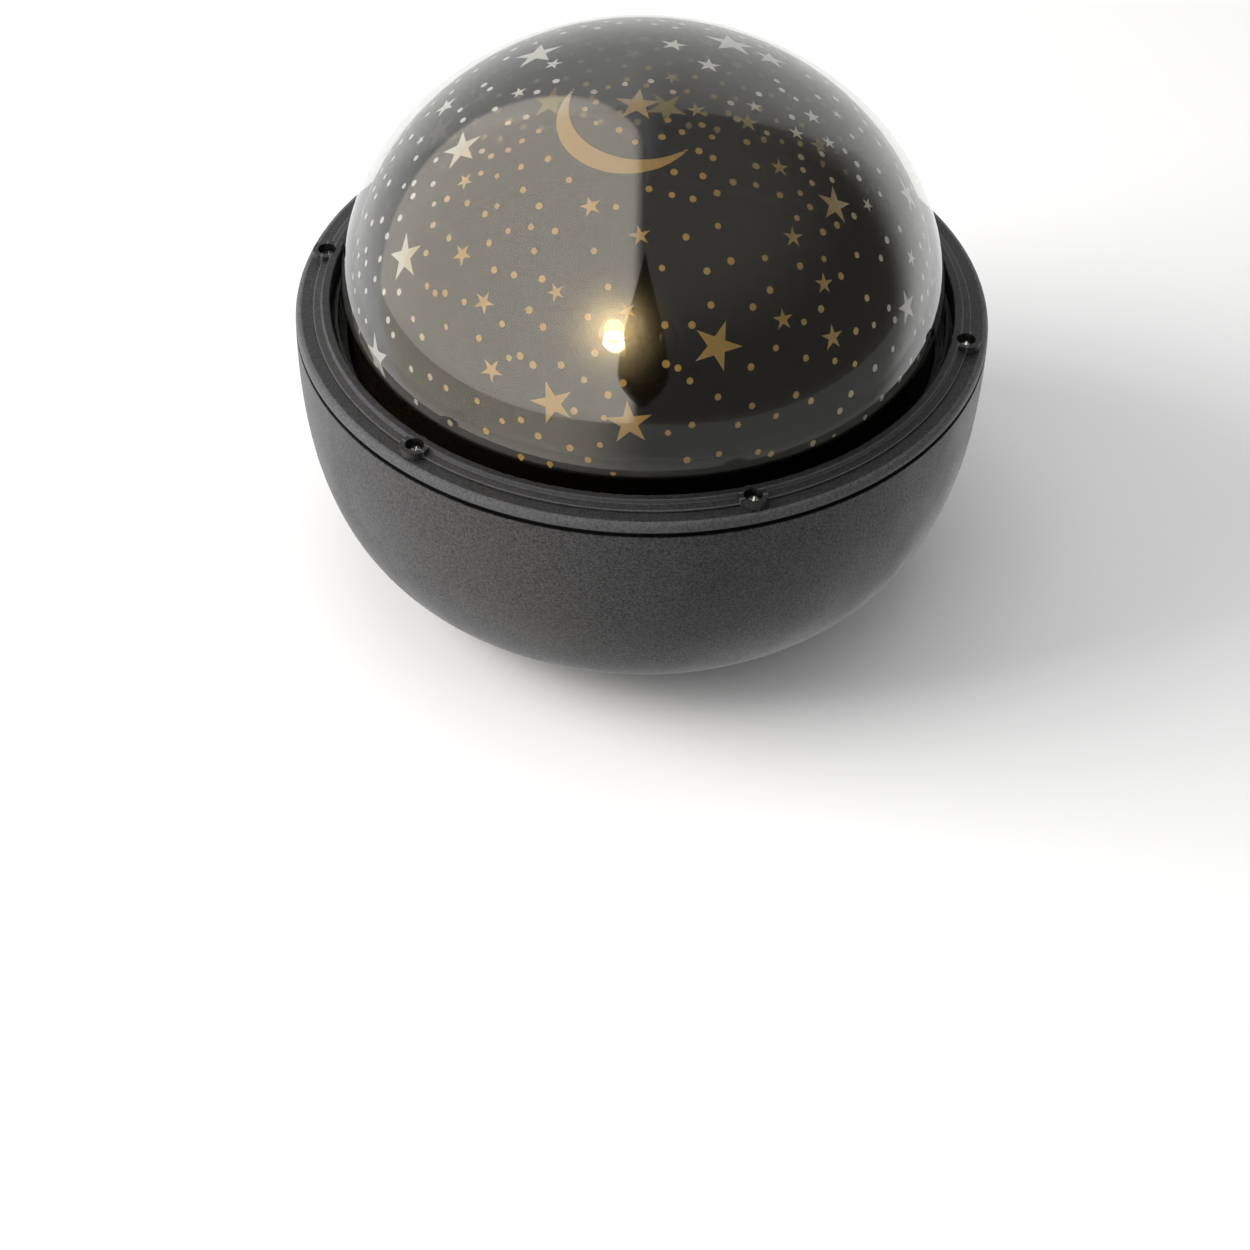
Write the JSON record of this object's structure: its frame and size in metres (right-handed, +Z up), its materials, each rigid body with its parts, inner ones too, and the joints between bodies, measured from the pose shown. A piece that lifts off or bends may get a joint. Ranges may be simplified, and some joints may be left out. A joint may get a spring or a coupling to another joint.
{
  "type": "star night light projector",
  "caption": "Round bedside star projector: black bowl base, screwed stepped bezel, smoked dome over a motor-turned star dome, battery powered, with buttons at the back.",
  "frame": {"origin": "centre of the plane that the four rubber feet rest on", "axes": "+Z up along the star dome's turning axis, +Y towards the control buttons"},
  "size_m": [0.171, 0.171, 0.1409],
  "materials": {
    "shell_black": "fine grained charcoal black, moulded",
    "smoked_clear": "glossy clear smoked acrylic",
    "star_film": "dark printed dome with clear stars and dots",
    "turntable_white": "off-white moulded",
    "inner_plastic": "dark grey moulded",
    "bearing_plastic": "natural slippery nylon",
    "gear_plastic": "natural acetal",
    "gearbox_plastic": "grey moulded",
    "gasket_rubber": "soft dark brown-grey",
    "foot_rubber": "soft black",
    "screw_steel": "bright zinc plate",
    "motor_steel": "drawn steel",
    "shaft_steel": "ground steel",
    "spring_steel": "nickel plated wire",
    "contact_nickel": "nickel plated strip",
    "board_green": "green solder mask",
    "connector_white": "ivory nylon",
    "chip_black": "black epoxy",
    "capacitor_sleeve": "dark blue sleeve",
    "cell_jacket": "plain green jacket",
    "bulb_red": "tinted epoxy",
    "bulb_blue": "tinted epoxy",
    "bulb_warm": "clear epoxy, lit warm white",
    "bulb_green": "tinted epoxy",
    "lead_red": "vinyl insulation",
    "lead_blue": "vinyl insulation",
    "lead_white": "vinyl insulation",
    "button_grey": "soft black moulded",
    "plunger_plastic": "ivory moulded"
  },
  "bodies": {
    "base": {"base_bowl": "shell_black", "bezel_ring": "shell_black", "bezel_screws": "screw_steel", "outer_dome": "smoked_clear", "dome_gasket": "gasket_rubber", "rubber_feet": "foot_rubber", "deck_plate": "inner_plastic", "deck_screws": "screw_steel", "thrust_washer": "bearing_plastic", "lamp_board": "board_green", "lamp_retainer": "inner_plastic", "red_bulb": "bulb_red", "blue_bulb": "bulb_blue", "warm_bulb": "bulb_warm", "green_bulb": "bulb_green", "gearbox_case": "gearbox_plastic", "motor_can": "motor_steel", "motor_screws": "screw_steel", "battery_box": "inner_plastic", "box_screws": "screw_steel", "battery_cells": "cell_jacket", "battery_springs": "spring_steel", "contact_plates": "contact_nickel", "main_board": "board_green", "board_screws": "screw_steel", "board_connectors": "connector_white", "controller_chip": "chip_black", "capacitors": "capacitor_sleeve", "switch_board": "board_green", "switch_screws": "screw_steel", "tact_switches": "chip_black", "lamp_leads": "lead_red", "motor_leads": "lead_blue", "switch_leads": "lead_white", "battery_leads": "lead_red"},
    "star_carrier": {"star_dome": "star_film", "turntable": "turntable_white"},
    "drive": {"motor_shaft": "shaft_steel", "drive_pinion": "gear_plastic"},
    "door": {"battery_door": "shell_black", "door_screws": "screw_steel"},
    "light_key": {"light_button": "button_grey", "light_plunger": "plunger_plastic"},
    "colour_key": {"colour_button": "button_grey", "colour_plunger": "plunger_plastic"},
    "spin_key": {"spin_button": "button_grey", "spin_plunger": "plunger_plastic"}
  },
  "joints": [
    {"name": "star_dome_spin", "type": "hinge", "parent": "base", "child": "star_carrier", "pos_m": [0, 0, 0.05], "axis": [0, 0, 1], "continuous": true},
    {"name": "motor_shaft_spin", "type": "hinge", "parent": "base", "child": "drive", "pos_m": [0, -0.048, 0.05], "axis": [0, 0, 1], "continuous": true},
    {"name": "light_press", "type": "slide", "parent": "base", "child": "light_key", "axis": [0, -1, 0], "range_m": [0, 0.0008], "stiffness_N_per_m": 1500},
    {"name": "colour_press", "type": "slide", "parent": "base", "child": "colour_key", "axis": [0, -1, 0], "range_m": [0, 0.0008], "stiffness_N_per_m": 1500},
    {"name": "spin_press", "type": "slide", "parent": "base", "child": "spin_key", "axis": [0, -1, 0], "range_m": [0, 0.0008], "stiffness_N_per_m": 1500},
    {"name": "battery_door_lift_off", "type": "slide", "parent": "base", "child": "door", "axis": [0, 0, -1], "range_m": [0, 0.03]}
  ],
  "couplings": [
    {"joint": "motor_shaft_spin", "follows": "star_dome_spin", "ratio": -5}
  ]
}
